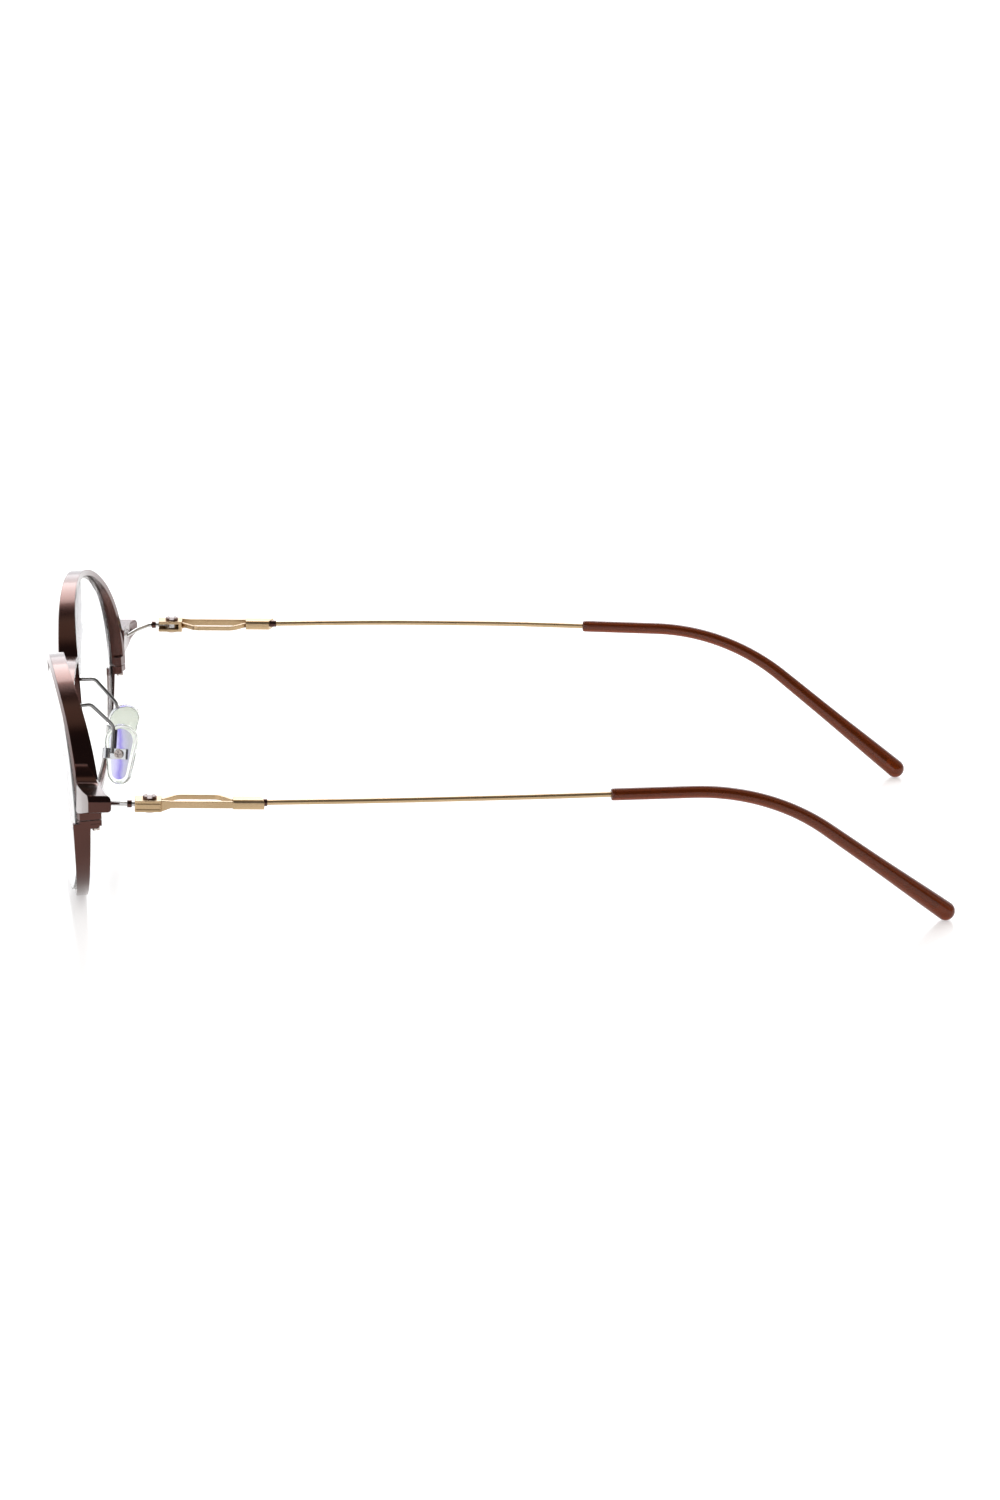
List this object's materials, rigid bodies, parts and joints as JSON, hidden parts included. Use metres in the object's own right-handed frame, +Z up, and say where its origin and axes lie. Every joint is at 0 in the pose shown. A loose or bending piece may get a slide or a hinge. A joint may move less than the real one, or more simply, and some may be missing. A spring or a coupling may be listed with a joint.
{
  "type": "full-rim metal eyeglasses",
  "caption": "Full-rim metal eyeglasses: oval lenses in rims that are deep over the brow and slim below, with an arched bridge, swivelling nose pads and folding sprung wire temples.",
  "frame": {"origin": "centre of the footprint on the plane that the rim bottoms and ear tips stand on", "axes": "+Z up; -Y is the way the wearer looks, so the lenses are at -Y and the ear tips at +Y; +X is the wearer's left; X = 0 is the plane of symmetry"},
  "size_m": [0.1338, 0.1518, 0.0403],
  "materials": {
    "brown_plate": "satin brown plating",
    "champagne_plate": "satin champagne-gold plating",
    "silver_plate": "satin silver plating",
    "screw_steel": "bright turned steel",
    "pad_plate": "mirror-polished metal",
    "tip_acetate": "polished translucent brown acetate",
    "lens_clear": "clear polished optical plastic",
    "pad_silicone": "clear soft silicone"
  },
  "bodies": {
    "front": {"bridge": "brown_plate", "rim_left": "brown_plate", "lock_screw_left": "screw_steel", "lens_left": "lens_clear", "end_piece_left": "brown_plate", "hinge_arm_left": "silver_plate", "arm_ring_left": "brown_plate", "pad_arm_left": "silver_plate", "pad_box_left": "silver_plate", "rim_right": "brown_plate", "lock_screw_right": "screw_steel", "lens_right": "lens_clear", "end_piece_right": "brown_plate", "hinge_arm_right": "silver_plate", "arm_ring_right": "brown_plate", "pad_arm_right": "silver_plate", "pad_box_right": "silver_plate"},
    "temple_left": {"hinge_box_left": "champagne_plate", "hinge_screw_left": "screw_steel", "hinge_nut_left": "screw_steel", "outer_leaf_left": "champagne_plate", "inner_strand_left": "champagne_plate", "collar_left": "champagne_plate", "wire_seal_left": "brown_plate", "temple_wire_left": "champagne_plate", "ear_tip_left": "tip_acetate"},
    "temple_right": {"hinge_box_right": "champagne_plate", "hinge_screw_right": "screw_steel", "hinge_nut_right": "screw_steel", "outer_leaf_right": "champagne_plate", "inner_strand_right": "champagne_plate", "collar_right": "champagne_plate", "wire_seal_right": "brown_plate", "temple_wire_right": "champagne_plate", "ear_tip_right": "tip_acetate"},
    "pad_left": {"nose_pad_left": "pad_silicone", "pad_insert_left": "pad_plate", "pad_screw_left": "screw_steel"},
    "pad_right": {"nose_pad_right": "pad_silicone", "pad_insert_right": "pad_plate", "pad_screw_right": "screw_steel"}
  },
  "joints": [
    {"name": "temple_left_fold", "type": "hinge", "parent": "front", "child": "temple_left", "pos_m": [0.065, -0.05728, 0.02357], "axis": [0, 0, 1], "range_deg": [0, 86]},
    {"name": "temple_right_fold", "type": "hinge", "parent": "front", "child": "temple_right", "pos_m": [-0.065, -0.05728, 0.02357], "axis": [0, 0, -1], "range_deg": [0, 81]},
    {"name": "pad_left_swivel", "type": "hinge", "parent": "front", "child": "pad_left", "pos_m": [0.00795, -0.06393, 0.01747], "axis": [0.9403, -0.1999, 0.2756], "range_deg": [-8, 8]},
    {"name": "pad_right_swivel", "type": "hinge", "parent": "front", "child": "pad_right", "pos_m": [-0.00795, -0.06393, 0.01747], "axis": [-0.9403, -0.1999, 0.2756], "range_deg": [-8, 8]}
  ]
}
